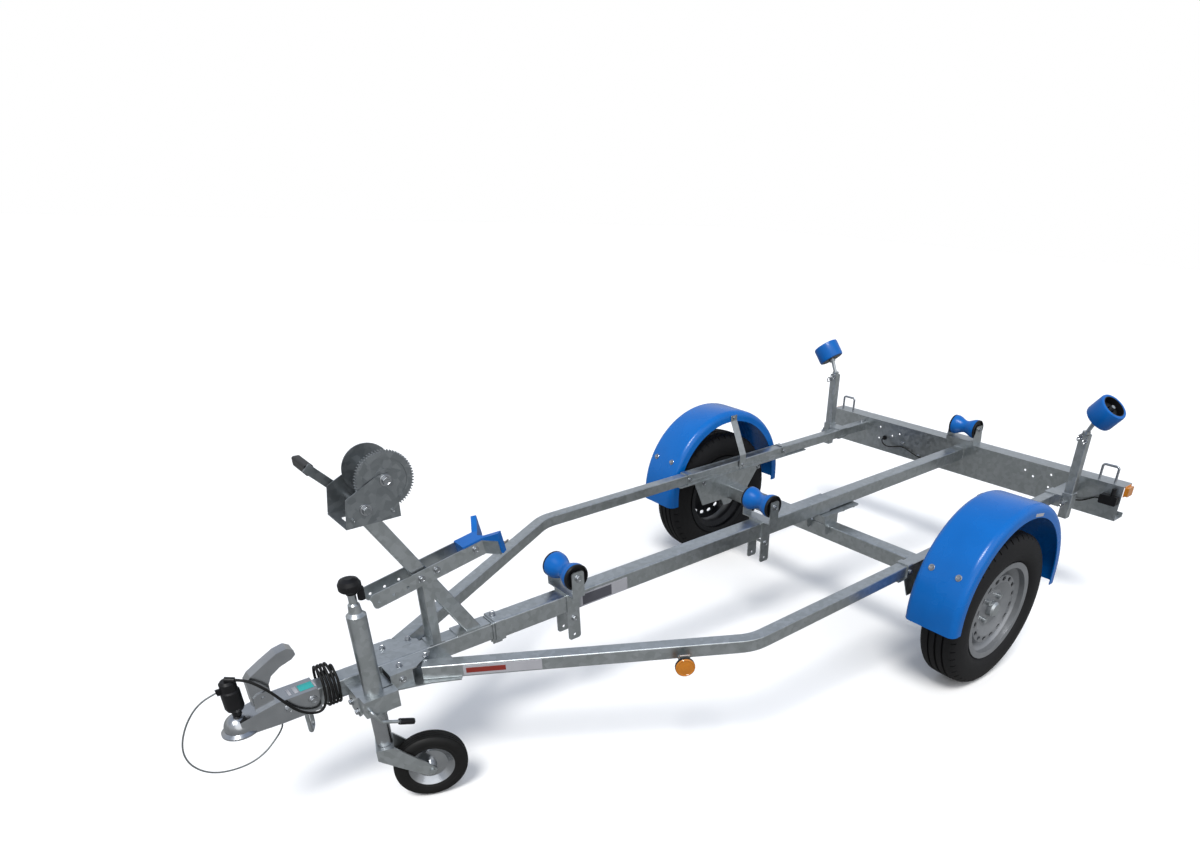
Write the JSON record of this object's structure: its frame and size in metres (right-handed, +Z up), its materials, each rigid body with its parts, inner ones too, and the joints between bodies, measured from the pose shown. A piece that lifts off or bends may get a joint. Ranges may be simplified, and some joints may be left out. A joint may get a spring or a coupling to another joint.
{
  "type": "boat trailer",
  "caption": "Single-axle boat trailer with telescoping centre beam, keel rollers, hand winch, mudguards and a swivelling jockey wheel.",
  "frame": {"origin": "on the ground under the middle of the trailer", "axes": "+X forward to the coupling, +Y to the left, +Z up; the frame stands nose-down on its jockey wheel as it parks"},
  "size_m": [3.3637, 1.6, 0.9719],
  "materials": {
    "galvanised": "hot-dip galvanised, faint spangle",
    "zinc": "bright zinc plated",
    "silver_rim": "silver-grey paint",
    "tyre": "matt ribbed rubber",
    "blue_plastic": "glossy moulded plastic",
    "blue_rubber": "smooth polyurethane",
    "black_plastic": "moulded plastic",
    "black_rubber": "matt rubber",
    "amber_lens": "clear amber reflector",
    "winch_grey": "dull grey zinc"
  },
  "bodies": {
    "chassis": {"centre_beam": "galvanised", "front_drawbar": "galvanised", "rear_inner_tube": "galvanised", "side_rails": "galvanised", "rear_cross_beam": "galvanised", "beam_collar": "galvanised", "rail_nose_brackets": "galvanised", "axle_tube": "galvanised", "axle_centre_clamp": "galvanised", "axle_side_plates": "galvanised", "rail_saddles": "galvanised", "swing_arms": "galvanised", "mudguard_left": "blue_plastic", "mudguard_right": "blue_plastic", "mudguard_stays": "galvanised", "keel_brackets": "galvanised", "keel_bracket_rear": "galvanised", "side_posts": "galvanised", "post_sockets": "galvanised", "roller_stems": "galvanised", "lift_handles": "zinc", "end_markers": "amber_lens", "side_markers": "amber_lens", "winch_post": "galvanised", "post_brace": "galvanised", "bow_channel": "galvanised", "bow_block": "blue_rubber", "winch_frame": "winch_grey", "coupling_head": "zinc", "coupling_lever": "zinc", "safety_hoop": "galvanised", "jockey_clamp": "galvanised", "clamp_handle": "galvanised", "jockey_tube": "galvanised", "jockey_cap": "black_plastic", "trailer_plug": "black_plastic", "trailer_lead": "black_rubber", "lead_coil": "black_rubber", "safety_wire": "zinc", "lamp_leads": "black_rubber", "lead_fittings": "black_plastic"},
    "wheel_left": {"tyre_left": "tyre", "rim_left": "silver_rim", "hub_left": "galvanised"},
    "wheel_right": {"tyre_right": "tyre", "rim_right": "silver_rim", "hub_right": "galvanised"},
    "jockey_leg": {"jockey_leg": "zinc"},
    "jockey_fork": {"jockey_fork": "galvanised"},
    "jockey_wheel": {"jockey_tyre": "black_rubber", "jockey_rim": "zinc"},
    "winch_drum": {"winch_drum": "winch_grey"},
    "winch_crank": {"winch_crank": "winch_grey", "crank_grip": "black_plastic"},
    "keel_roller_front": {"keel_roller_front": "blue_rubber"},
    "keel_roller_middle": {"keel_roller_middle": "blue_rubber"},
    "keel_roller_rear": {"keel_roller_rear": "blue_rubber"},
    "side_roller_left": {"side_roller_left": "blue_rubber"},
    "side_roller_right": {"side_roller_right": "blue_rubber"}
  },
  "joints": [
    {"name": "wheel_left_spin", "type": "hinge", "parent": "chassis", "child": "wheel_left", "pos_m": [-0.65602, 0.7075, 0.2863], "axis": [0, 1, 0], "continuous": true},
    {"name": "wheel_right_spin", "type": "hinge", "parent": "chassis", "child": "wheel_right", "pos_m": [-0.65602, -0.7075, 0.2863], "axis": [0, 1, 0], "continuous": true},
    {"name": "jockey_wind", "type": "slide", "parent": "chassis", "child": "jockey_leg", "axis": [-0.0559, 0, -0.9984], "range_m": [-0.035, 0.12]},
    {"name": "jockey_swivel", "type": "hinge", "parent": "jockey_leg", "child": "jockey_fork", "pos_m": [1.288, 0.1, 0.19655], "axis": [0.0559, 0, 0.9984], "continuous": true},
    {"name": "jockey_wheel_spin", "type": "hinge", "parent": "jockey_fork", "child": "jockey_wheel", "pos_m": [1.18248, 0.13521, 0.1003], "axis": [-0.3316, -0.9432, 0.0186], "continuous": true},
    {"name": "winch_drum_spin", "type": "hinge", "parent": "chassis", "child": "winch_drum", "pos_m": [1.18716, 0.015, 0.90029], "axis": [0, 1, 0], "continuous": true},
    {"name": "winch_crank_spin", "type": "hinge", "parent": "chassis", "child": "winch_crank", "pos_m": [1.24264, 0.015, 0.83822], "axis": [0, 1, 0], "continuous": true},
    {"name": "keel_roller_front_spin", "type": "hinge", "parent": "chassis", "child": "keel_roller_front", "pos_m": [0.64145, 0, 0.49113], "axis": [0, 1, 0], "continuous": true},
    {"name": "keel_roller_middle_spin", "type": "hinge", "parent": "chassis", "child": "keel_roller_middle", "pos_m": [-0.21821, 0, 0.53923], "axis": [0, 1, 0], "continuous": true},
    {"name": "keel_roller_rear_spin", "type": "hinge", "parent": "chassis", "child": "keel_roller_rear", "pos_m": [-1.57302, 0, 0.63407], "axis": [0, 1, 0], "continuous": true},
    {"name": "side_roller_left_spin", "type": "hinge", "parent": "chassis", "child": "side_roller_left", "pos_m": [-1.34023, 0.668, 0.87444], "axis": [0.1041, 0.6101, 0.7855], "continuous": true},
    {"name": "side_roller_right_spin", "type": "hinge", "parent": "chassis", "child": "side_roller_right", "pos_m": [-1.34023, -0.668, 0.87444], "axis": [0.1041, -0.6101, 0.7855], "continuous": true}
  ],
  "couplings": [
    {"joint": "winch_crank_spin", "follows": "winch_drum_spin", "ratio": -5.1667}
  ]
}
